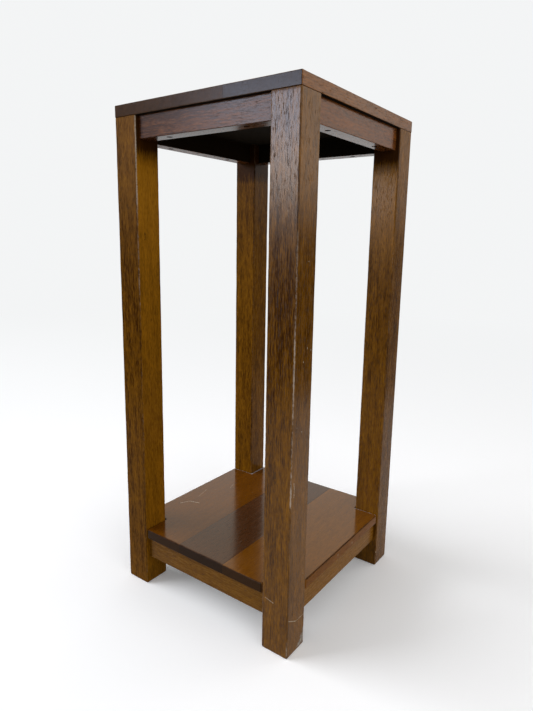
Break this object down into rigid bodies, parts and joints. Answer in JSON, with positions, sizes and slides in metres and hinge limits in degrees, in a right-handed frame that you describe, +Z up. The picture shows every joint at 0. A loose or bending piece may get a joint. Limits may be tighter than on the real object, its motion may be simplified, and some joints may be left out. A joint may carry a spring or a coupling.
{
  "type": "pedestal",
  "caption": "Square wooden pedestal or plant stand: straight square legs under a flush slab top on recessed aprons, with a low notched shelf on rails.",
  "frame": {"origin": "on the floor, at the middle of the four feet", "axes": "+Z up along the legs, -Y to the front, +X to the right"},
  "size_m": [0.305, 0.305, 0.711],
  "materials": {
    "leg_wood": "brown stain under satin clear lacquer, worn along the arrises",
    "apron_wood": "brown stain under satin clear lacquer, worn along the arrises",
    "rail_wood": "brown stain under satin clear lacquer, worn along the arrises",
    "top_wood": "brown stain under satin clear lacquer, worn along the arrises",
    "shelf_light_wood": "brown stain under satin clear lacquer, worn along the arrises",
    "shelf_dark_wood": "brown stain under satin clear lacquer, worn along the arrises",
    "shelf_warm_wood": "brown stain under satin clear lacquer, worn along the arrises",
    "dowel_wood": "bare hardwood",
    "screw_steel": "zinc plated"
  },
  "bodies": {
    "root": {"front_left_leg": "leg_wood", "front_right_leg": "leg_wood", "back_left_leg": "leg_wood", "back_right_leg": "leg_wood", "front_apron": "apron_wood", "right_apron": "apron_wood", "back_apron": "apron_wood", "left_apron": "apron_wood", "front_rail": "rail_wood", "right_rail": "rail_wood", "back_rail": "rail_wood", "left_rail": "rail_wood", "top_left_board": "top_wood", "top_middle_board": "top_wood", "top_right_board": "top_wood", "shelf_left_board": "shelf_light_wood", "shelf_middle_board": "shelf_dark_wood", "shelf_right_board": "shelf_warm_wood", "apron_dowels": "dowel_wood", "rail_dowels": "dowel_wood", "top_screws": "screw_steel", "shelf_screws": "screw_steel"}
  },
  "joints": []
}
